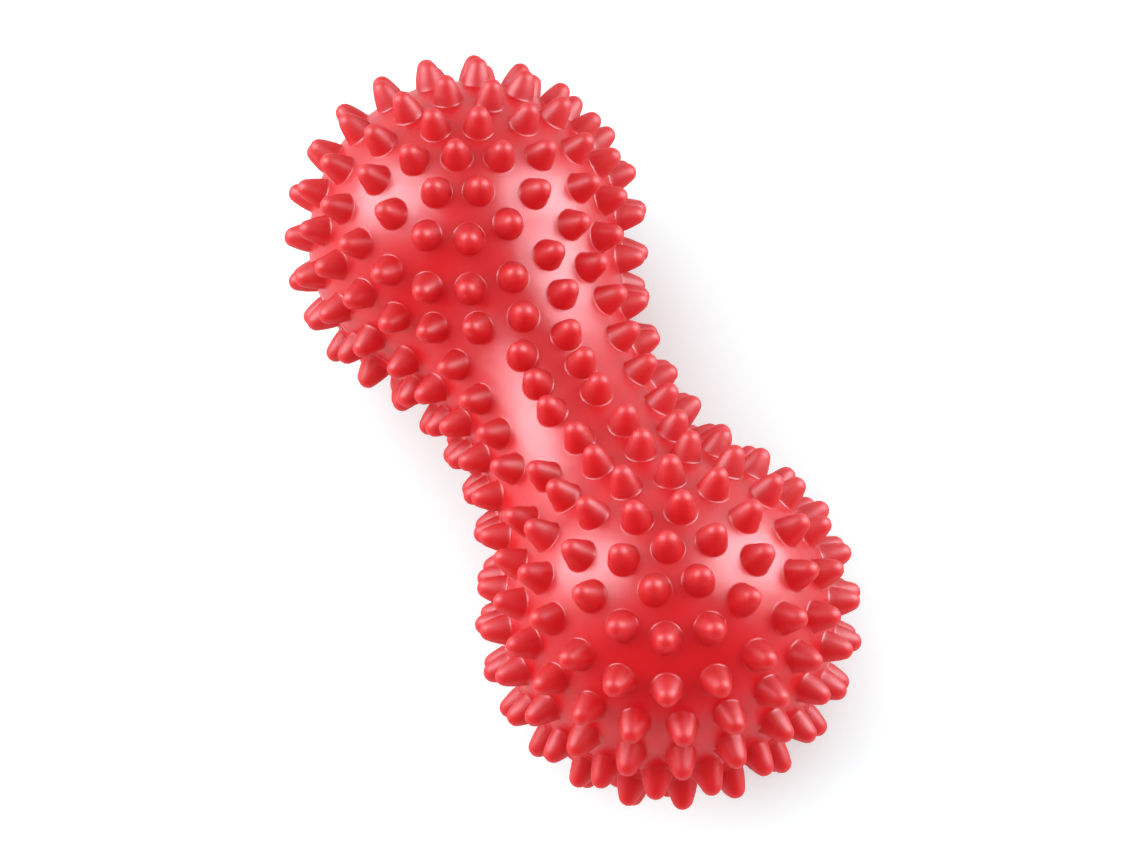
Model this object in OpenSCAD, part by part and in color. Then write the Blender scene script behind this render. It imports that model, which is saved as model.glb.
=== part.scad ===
// Spiky peanut massage ball: one moulded piece of soft red vinyl, two round lobes joined by
// a waist that straddles the spine, with blunt spikes all over.
// The long axis is X. The ball lies on the tips of its spikes, with z = 0 under them.
// The mould parts along the length, so both halves carry the same spikes, mirrored.

/* [Body] */
// Diameter of a lobe, without its spikes
lobe_d = 68.4; // [64:0.2:74]
// Distance between the centres of the two lobes
lobe_gap = 100; // [96:0.5:112]
// Diameter of the waist where it is narrowest, without its spikes
waist_d = 41; // [38:0.5:46]

/* [Spikes] */
// Height of a spike above the body
spike_h = 5.8; // [4:0.1:7]
// Diameter of a spike at the body
spike_d = 6.6; // [5.6:0.1:7]
// Diameter of the round tip of a spike
tip_d = 4.2; // [3.4:0.1:4.8]

/* [Rings of a lobe, as angles from the middle of its top] */
// Angle of the first ring, of 6 spikes
ring_1_angle = 15; // [14:0.1:15.5]
// Angle of the second ring, of 12 spikes
ring_2_angle = 30.3; // [29:0.1:31]
// Angle of the third ring, of 17 spikes
ring_3_angle = 47.5; // [46:0.1:48]
// Angle of the fourth ring, of 21 spikes
ring_4_angle = 61.8; // [61:0.1:62.5]
// Angle of the fifth ring, of 22 spikes
ring_5_angle = 76.7; // [76:0.1:77]
// How far the outer rings open out toward the ends of the ball, in degrees
ring_lean = 2.8; // [0:0.1:3.5]

/* [Rows on the waist] */
// Angle about the long axis from the ridge of the waist to the first row
row_1_angle = 14; // [12:0.5:15]
// Angle to the second row
row_2_angle = 50; // [48:0.5:52]
// Angle to the third row
row_3_angle = 74; // [73:0.5:75]
// Spacing of the spikes along the first row
row_1_pitch = 7.3; // [7.2:0.1:7.8]
// Spacing of the spikes along the second row
row_2_pitch = 9; // [8.6:0.1:9.4]
// Spacing of the spikes along the third row
row_3_pitch = 9.6; // [9.2:0.1:10]
// How far the rows stand off the middle of the waist, toward +X
row_shift = 2.7; // [2:0.1:3.2]

/* [Parting line] */
// Width of the raised line where the mould parts
parting_w = 0.8; // [0.5:0.1:1.2]
// Height of the raised line above the body
parting_h = 0.35; // [0.2:0.05:0.6]

/* [Hidden] */
$fn = 48;
vinyl_red = [0.88, 0.12, 0.14];

// The waist is an arc that runs tangent into both lobes
lobe_r = lobe_d/2;
lobe_x = lobe_gap/2;
waist_r = waist_d/2;
arc_r = (waist_r*waist_r + lobe_x*lobe_x - lobe_r*lobe_r)/(lobe_d - waist_d);
arc_y = waist_r + arc_r;
join_x = lobe_x*arc_r/(arc_r + lobe_r);
join_y = arc_y*lobe_r/(arc_r + lobe_r);

// Radius of the body at station x, and the lean of its outward normal toward +X
function on_waist(x) = abs(x) < join_x;
function past_lobe(x) = abs(x) - lobe_x;
function body_r(x) = on_waist(x)
    ? arc_y - sqrt(arc_r*arc_r - x*x)
    : sqrt(max(lobe_r*lobe_r - past_lobe(x)*past_lobe(x), 0));
function lean(x) = on_waist(x)
    ? -asin(x/arc_r)
    : asin(max(-1, min(1, past_lobe(x)/lobe_r)))*sign(x);

// Each spike is [station along X, angle about X from the top].
// The rings of a lobe are circles round the middle of its top. Where they run out onto
// the waist they keep their distance along the surface.
ring_angle = [0, ring_1_angle, ring_2_angle, ring_3_angle, ring_4_angle, ring_5_angle, 90];
ring_count = [1, 6, 12, 17, 21, 22, 22];
right_turn = [0, 17, 2.3, 16.9, 14.2, 11.8, 3.9];
left_turn = [0, 5.8, 12.8, 11, 6.3, 2.5, 11.8];
parting = 6;

join_angle = asin((lobe_x - join_x)/lobe_r);
join_arc = asin(join_x/arc_r);
function ball_reach(a) = lobe_r*sin(a);
function waist_reach(a) = a < join_angle
    ? ball_reach(a)
    : lobe_x - arc_r*sin(join_arc - (a - join_angle)*lobe_r/arc_r);
function ring_turn(ring, first, step) = let (even = first + step*360/ring_count[ring])
    even + (ring > 2 ? ring_lean*sin(even) : 0);
function ring_spike(side, ring, turn) = let (
    a = ring_angle[ring],
    toward_waist = pow(max(0, -cos(turn)), 5),
    reach = ball_reach(a) + (waist_reach(a) - ball_reach(a))*toward_waist,
    x = side*(lobe_x + reach*cos(turn)),
    y = side*reach*sin(turn),
    about = asin(max(-1, min(1, y/max(body_r(x), 0.001))))
) [x, ring == parting ? (y < 0 ? -90 : 90) : about];
function lobe_ring(side, ring) = [
    for (step = [0:ring_count[ring] - 1])
        ring_spike(side, ring, ring_turn(ring, (side > 0 ? right_turn : left_turn)[ring], step))
];

// Rows along the waist, the same on both sides of its ridge
function row(about, from, to, pitch, shift) = [
    for (side = [-1, 1], step = [from:to]) [shift + step*pitch, side*about]
];
half_rows = concat(
    row(row_1_angle, -1, 1, row_1_pitch, row_shift - row_1_pitch/2),
    row(row_2_angle, -2, 1, row_2_pitch, row_shift),
    row(row_3_angle, -2, 2, row_3_pitch, row_shift)
);
parting_row = row(90, -2, 2, row_3_pitch, row_shift - row_3_pitch/2);

// A ring stops where it would crowd the rows
room = 7.3;
function place(s) = [s.x, body_r(s.x)*sin(s.y), body_r(s.x)*cos(s.y)];
function apart(s, t) = norm(place(s) - place(t));
function clear_of(spikes, others) = [
    for (s = spikes) if (min([for (t = others) apart(s, t)]) > room) s
];
function both_lobes(from, to) = [
    for (side = [-1, 1], ring = [from:to], s = lobe_ring(side, ring)) s
];
half_rings = clear_of(both_lobes(0, 5), concat(half_rows, parting_row));
half_spikes = concat(half_rings, half_rows);
parting_rings = clear_of(both_lobes(parting, parting), concat(half_spikes, parting_row));
spikes = concat(
    half_spikes,
    [for (s = half_spikes) [s.x, 180 - s.y]],
    parting_rings,
    parting_row
);

// The round tip of a spike runs tangent into its side, which leans in
tip_r = tip_d/2;
tip_z = spike_h - tip_r;
side_lean = acos(tip_d/norm([spike_d, 2*tip_z])) - atan(2*tip_z/spike_d);

// The ball rolls until it rests on the middle spikes and one of the first ring
beside = max([for (s = both_lobes(1, 1)) s.y]);
rest_roll = atan((1 - cos(ring_1_angle))/sin(beside));

// How far a spike of the rolled ball reaches in direction d
function axis_of(s) = let (about = s.y + rest_roll)
    [sin(lean(s.x)), cos(lean(s.x))*sin(about), cos(lean(s.x))*cos(about)];
function root_of(s) = let (about = s.y + rest_roll)
    [s.x, body_r(s.x)*sin(about), body_r(s.x)*cos(about)];
function reach(s, d) = (root_of(s) + tip_z*axis_of(s))*d + tip_r;
function far(d) = max([for (s = spikes) reach(s, d)]);
lift = far([0, 0, -1]);
middle = [
    (far([1, 0, 0]) - far([-1, 0, 0]))/2,
    (far([0, 1, 0]) - far([0, -1, 0]))/2
];

module spike() {
    rotate_extrude()
        intersection() {
            union() {
                polygon([
                    [-1, -1.2],
                    [spike_d/2 + 1.2*tan(side_lean), -1.2],
                    [tip_r*cos(side_lean), tip_z + tip_r*sin(side_lean)],
                    [-1, tip_z + tip_r*sin(side_lean)]
                ]);
                translate([0, tip_z])
                    circle(r = tip_r);
            }
            translate([0, -2])
                square([spike_d, spike_h + 4]);
        }
}

// The ball is drawn in four lengths, each with the spikes that stand on it
ball_end = lobe_x + lobe_r + 1;
beyond_top = 4;
stations = [-ball_end, -lobe_x - beyond_top, 0, lobe_x + beyond_top, ball_end];

// Half of the outline of the body between two stations, grown outward all round
module half_outline(from, to, grow) {
    intersection() {
        union() {
            for (side = [-1, 1])
                translate([0, side*lobe_x])
                    circle(r = lobe_r + grow, $fn = 180);
            difference() {
                polygon([
                    [0, -lobe_x], [join_y, -join_x], [join_y, join_x], [0, lobe_x]
                ]);
                translate([arc_y, 0])
                    circle(r = arc_r - grow, $fn = 360);
            }
        }
        translate([0, from])
            square([ball_end, to - from]);
    }
}

module body(from, to, grow) {
    rotate([0, 90, 0])
        rotate_extrude($fn = 120)
            half_outline(from, to, grow);
}

// The bare body, with the raised line where its two halves meet
module moulding(from, to) {
    body(from, to, 0);
    intersection() {
        body(from, to, parting_h);
        cube([2*ball_end, 2*ball_end, parting_w], center = true);
    }
}

module length_of_ball(k) {
    from = stations[k];
    to = stations[k + 1];
    moulding(from, to);
    for (s = spikes)
        if (s.x >= from && s.x < to)
            rotate([-s.y, 0, 0])
                translate([on_waist(s.x) ? 0 : sign(s.x)*lobe_x, 0, on_waist(s.x) ? arc_y : 0])
                    rotate([0, lean(s.x), 0])
                        translate([0, 0, on_waist(s.x) ? -arc_r : lobe_r])
                            spike();
}

module half(k) {
    length_of_ball(k);
    length_of_ball(k + 1);
}

module massage_ball() {
    color(vinyl_red)
        translate([-middle.x, -middle.y, lift])
            rotate([-rest_roll, 0, 0]) {
                half(0);
                half(2);
            }
}

massage_ball();
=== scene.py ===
import math

import bpy
import numpy as np
from mathutils import Matrix, Vector
from mathutils.geometry import delaunay_2d_cdt


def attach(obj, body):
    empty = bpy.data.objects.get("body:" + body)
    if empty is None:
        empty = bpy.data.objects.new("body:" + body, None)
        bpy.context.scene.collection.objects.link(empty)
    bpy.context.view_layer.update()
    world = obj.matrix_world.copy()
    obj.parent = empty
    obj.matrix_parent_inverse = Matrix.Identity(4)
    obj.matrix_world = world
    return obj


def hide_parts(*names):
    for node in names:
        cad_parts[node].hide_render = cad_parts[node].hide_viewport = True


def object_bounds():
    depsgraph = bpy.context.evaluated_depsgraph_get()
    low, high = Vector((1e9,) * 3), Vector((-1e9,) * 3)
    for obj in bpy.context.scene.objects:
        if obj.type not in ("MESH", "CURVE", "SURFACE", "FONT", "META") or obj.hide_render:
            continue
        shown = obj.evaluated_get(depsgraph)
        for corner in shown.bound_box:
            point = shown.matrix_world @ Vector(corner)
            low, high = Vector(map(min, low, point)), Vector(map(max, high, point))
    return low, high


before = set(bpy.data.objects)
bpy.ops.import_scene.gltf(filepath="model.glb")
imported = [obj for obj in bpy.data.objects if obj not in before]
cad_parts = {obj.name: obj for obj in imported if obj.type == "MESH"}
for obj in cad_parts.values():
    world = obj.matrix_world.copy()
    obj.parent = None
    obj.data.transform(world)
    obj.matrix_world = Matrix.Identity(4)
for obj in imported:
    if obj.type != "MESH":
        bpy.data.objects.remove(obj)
cad_low, cad_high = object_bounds()

# The ball's sizes, in mm and degrees
LOBE_R = 34.2
LOBE_X = 50.0
WAIST_R = 20.5
SPIKE_H = 5.8
SPIKE_R = 3.3
TIP_R = 2.1
PARTING_W = 0.8
PARTING_H = 0.35

# Rings of spikes round the middle of a lobe's top. The last one stands on the parting line
RING_ANGLE = [0, 15, 30.3, 47.5, 61.8, 76.7, 90]
RING_COUNT = [1, 6, 12, 17, 21, 22, 22]
RING_TURN = {
    1: [0, 17, 2.3, 16.9, 14.2, 11.8, 3.9],
    -1: [0, 5.8, 12.8, 11, 6.3, 2.5, 11.8],
}
# How far the outer rings open out toward the ends of the ball
OUTER_RING = 3
RING_LEAN = 2.8
PARTING = 6
# A ring stops where it would come nearer to the rows than this
ROOM = 7.3

# Rows of spikes on the waist: angle from the top, pitch, first and last step, shift
ROW_SHIFT = 2.7
TOP_PITCH = 7.3
SIDE_PITCH = 9.6
ROWS = [
    (14, TOP_PITCH, -1, 1, ROW_SHIFT - TOP_PITCH / 2),
    (50, 9.0, -2, 1, ROW_SHIFT),
    (74, SIDE_PITCH, -2, 2, ROW_SHIFT),
]
PARTING_ROW = (90, SIDE_PITCH, -2, 2, ROW_SHIFT - SIDE_PITCH / 2)

# The waist is an arc that runs tangent into both lobes
ARC_R = (WAIST_R**2 + LOBE_X**2 - LOBE_R**2) / (2 * (LOBE_R - WAIST_R))
ARC_Y = WAIST_R + ARC_R
JOIN_X = LOBE_X * ARC_R / (ARC_R + LOBE_R)
JOIN_ANGLE = math.asin((LOBE_X - JOIN_X) / LOBE_R)
JOIN_ARC = math.asin(JOIN_X / ARC_R)
LOBE_ARC = LOBE_R * (math.pi / 2 + JOIN_ANGLE)

# The round tip of a spike runs tangent into its side, which leans in
TIP_Z = SPIKE_H - TIP_R
SIDE_LEAN = math.acos(TIP_R / math.hypot(SPIKE_R, TIP_Z)) - math.atan(TIP_Z / SPIKE_R)

# The rounded foot of a spike, and the slight crown of its side
FOOT_R = 3.6
FOOT_ROUND = 0.4
SIDE_BULGE = 0.13
FOOT_BENDS = [0.45, 1.0]
# Each ring of the side is its share of the height, and how far the body's curve still shows
SIDE_RINGS = [(0.3, 0.7), (0.6, 0.3), (0.85, 0.1)]
TIP_RINGS = 4
SEGMENTS = 24
# Steps that bring a foot's points onto the body
SEATING_STEPS = 8

# The points of the bare body between the spikes, and how far they stay from a spike's axis
FILL_STEP = 1.3
FILL_GAP = 4.15

# The parting line is a ribbon of strips round its back, let a little into the body
BACK_ANGLES = [-90, -60, -25, 0, 25, 60, 90]
LINE_POINTS = 120
LINE_SUNK = 0.02


def body_radius(x):
    """Radius of the body at stations x."""
    x = np.abs(np.asarray(x, float))
    waist = ARC_Y - np.sqrt(np.maximum(ARC_R**2 - x * x, 0))
    lobe = np.sqrt(np.maximum(LOBE_R**2 - (x - LOBE_X) ** 2, 0))
    return np.where(x < JOIN_X, waist, lobe)


def lean(x):
    """Lean of the body's outward normal toward +X at stations x."""
    x = np.asarray(x, float)
    waist = -np.arcsin(np.clip(x / ARC_R, -1, 1))
    lobe = np.arcsin(np.clip((np.abs(x) - LOBE_X) / LOBE_R, -1, 1)) * np.sign(x)
    return np.where(np.abs(x) < JOIN_X, waist, lobe)


def on_body(x, about):
    """Points and outward normals of the body at stations x and angles about X from the top."""
    r, tilt = body_radius(x), lean(x)
    point = np.stack([x, r * np.sin(about), r * np.cos(about)], -1)
    across = np.cos(tilt)
    normal = np.stack([np.sin(tilt), across * np.sin(about), across * np.cos(about)], -1)
    return point, normal


def waist_reach(angle):
    """Plan distance toward the waist of a ring that keeps its distance along the surface."""
    if angle < JOIN_ANGLE:
        return LOBE_R * math.sin(angle)
    return LOBE_X - ARC_R * math.sin(JOIN_ARC - (angle - JOIN_ANGLE) * LOBE_R / ARC_R)


def lobe_ring(side, ring):
    """Stations and angles of the spikes in one ring of a lobe."""
    angle = math.radians(RING_ANGLE[ring])
    ball = LOBE_R * math.sin(angle)
    ring_lean = RING_LEAN if ring >= OUTER_RING else 0
    spikes = []
    for step in range(RING_COUNT[ring]):
        even = RING_TURN[side][ring] + step * 360 / RING_COUNT[ring]
        turn = math.radians(even + ring_lean * math.sin(math.radians(even)))
        reach = ball + (waist_reach(angle) - ball) * max(0, -math.cos(turn)) ** 5
        x = side * (LOBE_X + reach * math.cos(turn))
        y = side * reach * math.sin(turn)
        about = math.asin(max(-1, min(1, y / max(float(body_radius(x)), 0.001))))
        if ring == PARTING:
            about = math.copysign(math.pi / 2, y)
        spikes.append((x, about))
    return spikes


def waist_row(about, pitch, first, last, shift):
    """Stations and angles of a pair of rows on the waist."""
    steps = range(first, last + 1)
    return [(shift + step * pitch, side * math.radians(about)) for side in (-1, 1) for step in steps]


def clear_of(spikes, others):
    """The spikes that stand clear of all the others."""
    there = on_body(*np.array(others).T)[0]
    here = on_body(*np.array(spikes).T)[0]
    apart = np.linalg.norm(here[:, None] - there[None], axis=-1).min(1)
    return [s for s, d in zip(spikes, apart) if d > ROOM]


def layout():
    """Station and angle of every spike. The lower half mirrors the upper one."""
    rows = [s for row in ROWS for s in waist_row(*row)]
    parting_row = waist_row(*PARTING_ROW)
    rings = [s for side in (-1, 1) for ring in range(PARTING) for s in lobe_ring(side, ring)]
    upper = clear_of(rings, rows + parting_row) + rows
    lower = [(x, math.pi - about) for x, about in upper]
    last = [s for side in (-1, 1) for s in lobe_ring(side, PARTING)]
    return upper + lower + clear_of(last, upper + parting_row) + parting_row


# The ball rolls until it rests on the middle spikes and one of the first ring
BESIDE = max(about for side in (-1, 1) for x, about in lobe_ring(side, 1))
REST_ROLL = -math.atan((1 - math.cos(math.radians(RING_ANGLE[1]))) / math.sin(BESIDE))
REST_TURN = np.array(Matrix.Rotation(REST_ROLL, 3, "X"))


def at_rest(points, spikes):
    """Points of the layout, rolled onto the lowest spikes and moved into the row frame, in metres."""
    base, normal = on_body(*spikes.T)
    centres = (base + TIP_Z * normal) @ REST_TURN.T
    low, high = centres.min(0) - TIP_R, centres.max(0) + TIP_R
    shift = -np.array([(low[0] + high[0]) / 2, (low[1] + high[1]) / 2, low[2]])
    return (points @ REST_TURN.T + shift) * 0.001


def flat_map(points):
    """A flat map of the body that keeps angles, with the left end in its middle."""
    x, about = points[:, 0], np.arctan2(points[:, 1], points[:, 2])
    wide = math.sqrt(ARC_Y**2 - ARC_R**2)

    def waist(v):
        half_turn = np.arcsin(np.clip(v / ARC_R, -1, 1)) / 2
        return 2 * ARC_R / wide * np.arctan((ARC_Y + ARC_R) / wide * np.tan(half_turn))

    def lobe(v):
        return np.log(np.tan(np.arccos(np.clip((LOBE_X - v) / LOBE_R, -1, 1)) / 2))

    far = np.abs(x)
    on_waist = waist(np.minimum(far, JOIN_X))
    on_lobe = waist(JOIN_X) - lobe(JOIN_X) + lobe(np.maximum(far, JOIN_X))
    size = np.exp(np.where(far < JOIN_X, on_waist, on_lobe) * np.sign(x))
    return np.stack([size * np.cos(about), size * np.sin(about)], -1)


def spike_profile():
    """Radius, height above the foot, and how far the body's own curve still shows, ring by ring."""
    steps = [(FOOT_R, 0.0, 1.0)]
    side = SPIKE_R - FOOT_ROUND * math.tan(SIDE_LEAN)
    for part in FOOT_BENDS:
        bend = part * (math.pi / 2 - SIDE_LEAN)
        radius = FOOT_R + (side - FOOT_R) * math.sin(bend) / math.cos(SIDE_LEAN)
        height = FOOT_ROUND * (1 - math.cos(bend)) / (1 - math.sin(SIDE_LEAN))
        steps.append((radius, height, 1.0))
    high = TIP_Z + TIP_R * math.sin(SIDE_LEAN)
    for part, share in SIDE_RINGS:
        bulge = SIDE_BULGE * math.sin(math.pi * part)
        steps.append((SPIKE_R - part * high * math.tan(SIDE_LEAN) + bulge, part * high, share))
    for turn in np.linspace(SIDE_LEAN, math.pi / 2, TIP_RINGS + 1)[:-1]:
        steps.append((TIP_R * math.cos(turn), TIP_Z + TIP_R * math.sin(turn), 0.0))
    return np.array(steps)


def body_height(base, normal, spread):
    """Height of the body over the foot plane of each spike, at places spread out from its axis."""
    height = np.zeros(spread.shape[:-1])
    for _ in range(SEATING_STEPS):
        p = base + spread + height[..., None] * normal
        x, r = p[..., 0], np.hypot(p[..., 1], p[..., 2])
        off_waist = ARC_R - np.hypot(x, ARC_Y - r)
        off_lobe = np.hypot(np.abs(x) - LOBE_X, r) - LOBE_R
        height -= np.where(np.abs(x) < JOIN_X, off_waist, off_lobe)
    return height


def spike_rings(base, normal, profile):
    """The rings of points round every spike, from its foot to its tip."""
    along = np.cross(normal, [0, 0, 1.0])
    upright = np.linalg.norm(along, axis=1) < 0.2
    along[upright] = np.cross(normal[upright], [1.0, 0, 0])
    along /= np.linalg.norm(along, axis=1)[:, None]
    across = np.cross(normal, along)
    turns = np.linspace(0, 2 * math.pi, SEGMENTS, endpoint=False)[None, :, None]
    out = np.cos(turns) * along[:, None] + np.sin(turns) * across[:, None]
    base, normal = base[:, None], normal[:, None]
    rings = []
    for radius, height, share in profile:
        under = body_height(base, normal, radius * out)
        rings.append(base + radius * out + (under * share + height)[..., None] * normal)
    return np.stack(rings, 1)


def bare_points(base):
    """Even points of the bare body, clear of the spikes' feet."""
    half_length = LOBE_ARC + ARC_R * JOIN_ARC
    points = []
    for i, s in enumerate(np.arange(FILL_STEP / 2, half_length, FILL_STEP)):
        if s < LOBE_ARC:
            x = LOBE_X + LOBE_R * math.cos(s / LOBE_R)
        else:
            x = ARC_R * math.sin(JOIN_ARC - (s - LOBE_ARC) / ARC_R)
        count = max(6, round(2 * math.pi * float(body_radius(x)) / FILL_STEP))
        about = (np.arange(count) + 0.5 * (i % 2)) * 2 * math.pi / count
        for side in (-1, 1):
            points.append(on_body(np.full(count, side * x), about)[0])
    points = np.concatenate(points)
    keep = np.ones(len(points), bool)
    for b in base:
        keep &= np.linalg.norm(points - b, axis=1) > FILL_GAP
    return points[keep]


def bare_faces(feet, bare):
    """Triangles of the bare body, made on its flat map, without those inside a spike's foot."""
    edges = [
        (k + i, k + (i + 1) % SEGMENTS)
        for k in range(0, len(feet), SEGMENTS) for i in range(SEGMENTS)
    ]
    places = [Vector(p) for p in flat_map(np.concatenate([feet, bare]))]
    made = delaunay_2d_cdt(places, edges, [], 0, 1e-9)
    index = [ids[0] for ids in made[3]]
    faces = []
    for face in made[2]:
        face = [index[i] for i in face]
        spikes = {i // SEGMENTS if i < len(feet) else -1 for i in face}
        if len(spikes) > 1 or -1 in spikes:
            faces.append(face)
    return faces


def ball_mesh(spikes):
    """One closed mesh of the body with every spike blended into it, in the layout's own axes.

    Gives its points and faces, the true normals of the body's points, which come first, and
    each point's share of the way up a spike.
    """
    base, normal = on_body(*spikes.T)
    profile = spike_profile()
    rings = spike_rings(base, normal, profile)
    feet, upper = rings[:, 0].reshape(-1, 3), rings[:, 1:].reshape(-1, 3)
    bare = bare_points(base)
    tips = base + SPIKE_H * normal
    points = np.concatenate([feet, bare, upper, tips])
    upper_start = len(feet) + len(bare)
    tip_start = upper_start + len(upper)
    top_ring = len(profile) - 1

    def at(spike, ring, i):
        if ring == 0:
            return spike * SEGMENTS + i % SEGMENTS
        return upper_start + (spike * top_ring + ring - 1) * SEGMENTS + i % SEGMENTS

    faces = bare_faces(feet, bare)
    for k in range(len(spikes)):
        for ring in range(top_ring):
            for i in range(SEGMENTS):
                faces.append([
                    at(k, ring, i), at(k, ring, i + 1), at(k, ring + 1, i + 1), at(k, ring + 1, i)
                ])
        for i in range(SEGMENTS):
            faces.append([at(k, top_ring, i), at(k, top_ring, i + 1), tip_start + k])

    body = points[:upper_start]
    body_normals = on_body(body[:, 0], np.arctan2(body[:, 1], body[:, 2]))[1]
    height = np.zeros(len(points))
    height[upper_start:tip_start] = np.tile(np.repeat(profile[1:, 1], SEGMENTS), len(spikes))
    height[tip_start:] = SPIKE_H
    return points, faces, body_normals, height / SPIKE_H


def parting_line():
    """A thin raised ribbon round the plane where the mould parts, in the layout's own axes."""
    lobe_x = LOBE_X + LOBE_R * np.cos(np.linspace(0, math.pi / 2 + JOIN_ANGLE, LINE_POINTS))
    waist_x = ARC_R * np.sin(np.linspace(JOIN_ARC, -JOIN_ARC, LINE_POINTS))[1:-1]
    there = np.concatenate([lobe_x, waist_x, -lobe_x[::-1]])
    x = np.concatenate([there, there[::-1][1:-1]])
    about = np.where(np.arange(len(x)) < len(there), math.pi / 2, -math.pi / 2)
    point, normal = on_body(x, about)
    rows = [
        point + (PARTING_H * math.cos(a) - LINE_SUNK) * normal + [0, 0, PARTING_W / 2 * math.sin(a)]
        for a in np.radians(BACK_ANGLES)
    ]
    points = np.stack(rows, 1).reshape(-1, 3)
    wide, count = len(rows), len(x)
    faces = []
    for i in range(count):
        here, ahead = i * wide, (i + 1) % count * wide
        for j in range(wide - 1):
            faces.append([here + j, here + j + 1, ahead + j + 1, ahead + j])
    return points, faces


def mesh_object(name, points, faces, material, normals=None):
    """A smooth piece that rides on the ball. The first points may bring the surface's true normals."""
    mesh = bpy.data.meshes.new(name)
    mesh.from_pydata(points.tolist(), [], faces)
    mesh.shade_smooth()
    if normals is not None:
        given = np.zeros((len(points), 3))
        given[:len(normals)] = normals
        mesh.normals_split_custom_set_from_vertices(given.tolist())
    mesh.materials.append(material)
    piece = bpy.data.objects.new(name, mesh)
    bpy.context.collection.objects.link(piece)
    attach(piece, "root")
    return piece


# Reds of the body, which vary between two, and the paler red of the spikes, which is painted light: it
# stands in for the extra light that scatters in the solid spikes
BODY_DEEP = (0.62, 0.003, 0.007, 1)
BODY_LIGHT = (0.67, 0.006, 0.011, 1)
SPIKE_PAINTED_PALE_RED = (0.60, 0.008, 0.011, 1)
# Share of a spike's height over which the body's look turns into the spike's higher roughness and
# painted paler red
BLEND_UP = 0.15
# Roughness of the body, which varies between two, and how much rougher the spikes are
ROUGH_LOW = 0.34
ROUGH_HIGH = 0.40
SPIKES_ROUGHER = 0.14


def soft_vinyl():
    """Red vinyl, slightly clear, with a faint ripple and grain."""
    material = bpy.data.materials.new("soft_red_vinyl")
    material.use_nodes = True
    nodes, links = material.node_tree.nodes, material.node_tree.links
    shader = nodes["Principled BSDF"]
    shader.inputs["IOR"].default_value = 1.55
    shader.inputs["Subsurface Weight"].default_value = 0.6
    shader.inputs["Subsurface Radius"].default_value = (1.0, 0.18, 0.12)
    shader.inputs["Subsurface Scale"].default_value = 0.004
    place = nodes.new("ShaderNodeTexCoord")

    def noise(scale, detail, rough=0.5):
        texture = nodes.new("ShaderNodeTexNoise")
        texture.inputs["Scale"].default_value = scale
        texture.inputs["Detail"].default_value = detail
        texture.inputs["Roughness"].default_value = rough
        links.new(place.outputs["Object"], texture.inputs["Vector"])
        return texture.outputs["Fac"]

    def spread(source, low, high, from_low=0.3, from_high=0.7):
        ramp = nodes.new("ShaderNodeMapRange")
        ramp.inputs["From Min"].default_value = from_low
        ramp.inputs["From Max"].default_value = from_high
        ramp.inputs["To Min"].default_value = low
        ramp.inputs["To Max"].default_value = high
        links.new(source, ramp.inputs["Value"])
        return ramp.outputs["Result"]

    def mix(factor, low, high):
        tone = nodes.new("ShaderNodeMix")
        tone.data_type = "RGBA"
        links.new(factor, tone.inputs["Factor"])
        for socket, colour in ((tone.inputs["A"], low), (tone.inputs["B"], high)):
            if isinstance(colour, tuple):
                socket.default_value = colour
            else:
                links.new(colour, socket)
        return tone.outputs["Result"]

    def bump(height, strength, distance):
        made = nodes.new("ShaderNodeBump")
        made.inputs["Strength"].default_value = strength
        made.inputs["Distance"].default_value = distance
        links.new(height, made.inputs["Height"])
        return made

    # The solid spikes are a little rougher than the thin wall over its dark hollow. Their paler red is
    # painted light, standing in for the light that scatters in the solid spikes but not in the thin
    # wall
    height = nodes.new("ShaderNodeAttribute")
    height.attribute_name = "height"
    on_spike = spread(height.outputs["Fac"], 0, 1, 0, BLEND_UP)
    body = mix(spread(noise(45, 3), 0, 1), BODY_DEEP, BODY_LIGHT)
    links.new(mix(on_spike, body, SPIKE_PAINTED_PALE_RED), shader.inputs["Base Color"])
    rougher = nodes.new("ShaderNodeMath")
    rougher.operation = "MULTIPLY_ADD"
    rougher.inputs[1].default_value = SPIKES_ROUGHER
    links.new(on_spike, rougher.inputs[0])
    links.new(spread(noise(160, 4), ROUGH_LOW, ROUGH_HIGH), rougher.inputs[2])
    links.new(rougher.outputs["Value"], shader.inputs["Roughness"])

    ripple = bump(noise(110, 2), 0.25, 0.0008)
    grain = bump(noise(1500, 3, 0.6), 0.12, 0.0001)
    links.new(ripple.outputs["Normal"], grain.inputs["Normal"])
    links.new(grain.outputs["Normal"], shader.inputs["Normal"])
    return material


vinyl = soft_vinyl()
spikes = np.array(layout())
points, faces, body_normals, height = ball_mesh(spikes)
surface = mesh_object("ball_surface", at_rest(points, spikes), faces, vinyl, body_normals @ REST_TURN.T)
surface.data.attributes.new("height", "FLOAT", "POINT").data.foreach_set("value", height)
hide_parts("massage_ball")
line_points, line_faces = parting_line()
mesh_object("parting_line", at_rest(line_points, spikes), line_faces, vinyl)

# The camera's place in metres, its turn from looking straight down, and its lens in mm
CAMERA_PLACE = (0.2869, -0.0302, 0.6692)
CAMERA_TURN = (
    Matrix.Rotation(math.radians(83.85), 3, "Z")
    @ Matrix.Rotation(math.radians(24.49), 3, "X")
    @ Matrix.Rotation(math.radians(-21.39), 3, "Z")
)
CAMERA_LENS = 102.9
scene = bpy.context.scene
camera = bpy.data.objects.new("camera", bpy.data.cameras.new("camera"))
bpy.context.collection.objects.link(camera)
camera.data.lens = CAMERA_LENS
camera.data.clip_start = 0.05
camera.data.clip_end = 10
camera.location = CAMERA_PLACE
camera.rotation_mode = "QUATERNION"
camera.rotation_quaternion = CAMERA_TURN.to_quaternion()
scene.camera = camera
scene.view_settings.view_transform = "Standard"

# Soft light: two cool strips that show as highlights, and four warm fills that show as none
BALL_MIDDLE = Vector((0, 0, (cad_low.z + cad_high.z) / 2))
COOL = (0.84, 0.92, 1)
WARM = (1, 0.94, 0.98)


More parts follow.
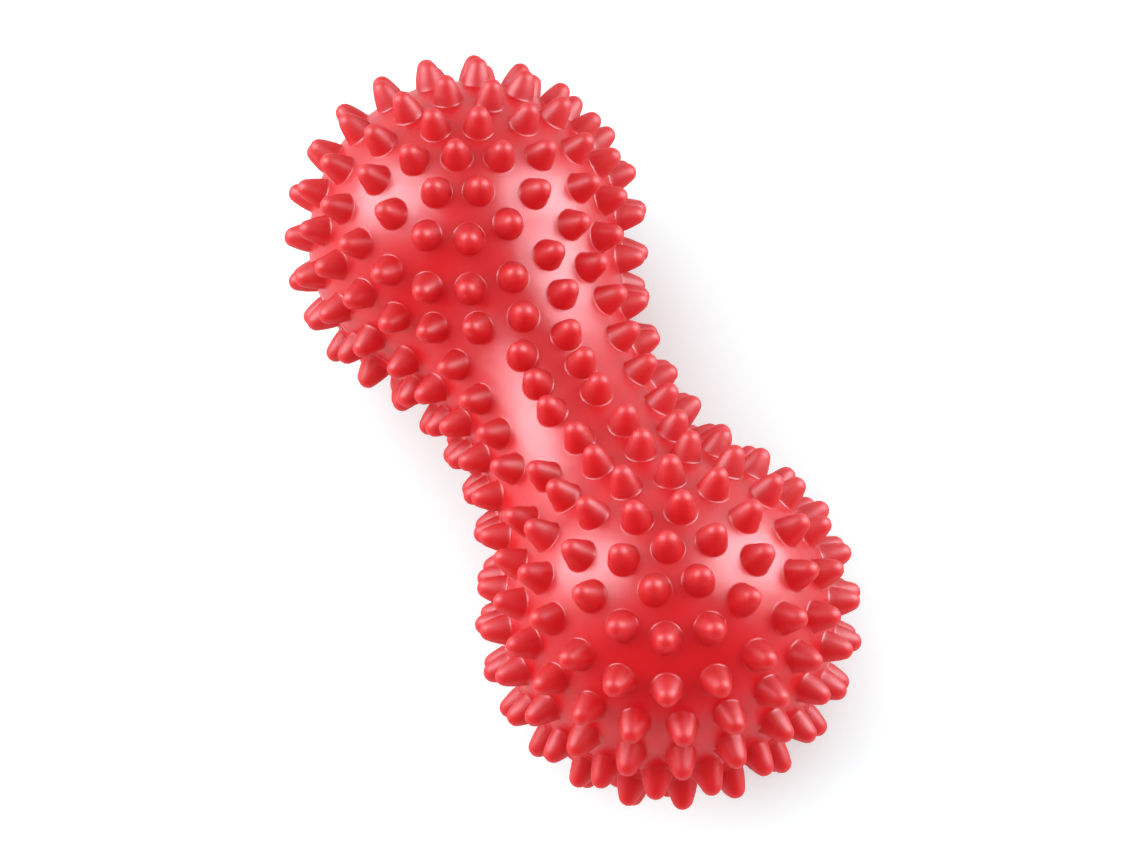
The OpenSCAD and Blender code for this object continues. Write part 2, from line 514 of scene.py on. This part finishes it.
def softbox(name, across, up, distance, width, height, power, colour):
    """A soft light, placed by its angles from the camera's line of sight, across and up."""
    a, e = math.radians(across), math.radians(up)
    aim = CAMERA_TURN @ Vector((math.sin(a) * math.cos(e), math.sin(e), math.cos(a) * math.cos(e)))
    lamp = bpy.data.lights.new(name, "AREA")
    lamp.shape = "RECTANGLE"
    lamp.size, lamp.size_y = width, height
    lamp.energy, lamp.color = power, colour
    made = bpy.data.objects.new(name, lamp)
    made.location = BALL_MIDDLE + distance * aim
    made.rotation_mode = "QUATERNION"
    made.rotation_quaternion = aim.to_track_quat("Z", "Y")
    bpy.context.collection.objects.link(made)
    return made


for strip in (
    softbox("left_strip", -60, 28, 0.42, 0.22, 0.40, 3.7, COOL),
    softbox("right_strip", 63, 29, 0.42, 0.25, 0.44, 4.6, COOL),
):
    strip.visible_diffuse = False
for fill in (
    softbox("overhead", -8, 40, 1.3, 1.5, 1.2, 8.3, WARM),
    softbox("front_fill", 0, -15, 1.3, 1.3, 1.3, 8.6, WARM),
    softbox("left_fill", -72, 5, 0.9, 0.9, 0.9, 6.8, WARM),
    softbox("right_fill", 72, 5, 0.9, 0.9, 0.9, 6.8, WARM),
):
    fill.visible_glossy = False

# A white tent that darkens toward its opening. The camera itself sees plain white
world = bpy.data.worlds.new("tent")
scene.world = world
world.use_nodes = True
nodes, links = world.node_tree.nodes, world.node_tree.links
way = nodes.new("ShaderNodeTexCoord")
facing = nodes.new("ShaderNodeVectorMath")
facing.operation = "DOT_PRODUCT"
facing.inputs[1].default_value = CAMERA_TURN @ Vector((0, 0, 1))
cloth = nodes.new("ShaderNodeMapRange")
cloth.interpolation_type = "SMOOTHSTEP"
cloth.inputs["From Min"].default_value = -0.35
cloth.inputs["From Max"].default_value = 0.72
cloth.inputs["To Min"].default_value = 1.25
cloth.inputs["To Max"].default_value = 0.05
links.new(way.outputs["Generated"], facing.inputs[0])
links.new(facing.outputs["Value"], cloth.inputs["Value"])
links.new(cloth.outputs["Result"], nodes["Background"].inputs["Strength"])
nodes["Background"].inputs["Color"].default_value = (1, 0.95, 1, 1)
backdrop = nodes.new("ShaderNodeBackground")
backdrop.inputs["Color"].default_value = (1, 1, 1, 1)
ray = nodes.new("ShaderNodeLightPath")
either = nodes.new("ShaderNodeMixShader")
links.new(ray.outputs["Is Camera Ray"], either.inputs["Fac"])
links.new(nodes["Background"].outputs["Background"], either.inputs[1])
links.new(backdrop.outputs["Background"], either.inputs[2])
links.new(either.outputs["Shader"], nodes["World Output"].inputs["Surface"])

# A pale floor that keeps the ball's shadow. What the camera sees of it is white, with a colour
# that makes up for the red light that the ball throws on it
FLOOR_REACH = 0.55
FLOOR_PALE = (0.85, 0.85, 0.85, 1)
FLOOR_SEEN = (0.99, 1.26, 1.22, 1)
corners = [(FLOOR_REACH * x, FLOOR_REACH * y, 0) for x, y in ((-1, -1), (1, -1), (1, 1), (-1, 1))]
floor = bpy.data.objects.new("floor", bpy.data.meshes.new("floor"))
floor.data.from_pydata(corners, [], [(0, 1, 2, 3)])
bpy.context.collection.objects.link(floor)
pale = bpy.data.materials.new("white_floor")
pale.use_nodes = True
nodes, links = pale.node_tree.nodes, pale.node_tree.links
nodes.clear()
ray = nodes.new("ShaderNodeLightPath")
tone = nodes.new("ShaderNodeMix")
tone.data_type = "RGBA"
tone.inputs["A"].default_value = FLOOR_PALE
tone.inputs["B"].default_value = FLOOR_SEEN
matt = nodes.new("ShaderNodeBsdfDiffuse")
sheet = nodes.new("ShaderNodeOutputMaterial")
links.new(ray.outputs["Is Camera Ray"], tone.inputs["Factor"])
links.new(tone.outputs["Result"], matt.inputs["Color"])
links.new(matt.outputs["BSDF"], sheet.inputs["Surface"])
floor.data.materials.append(pale)
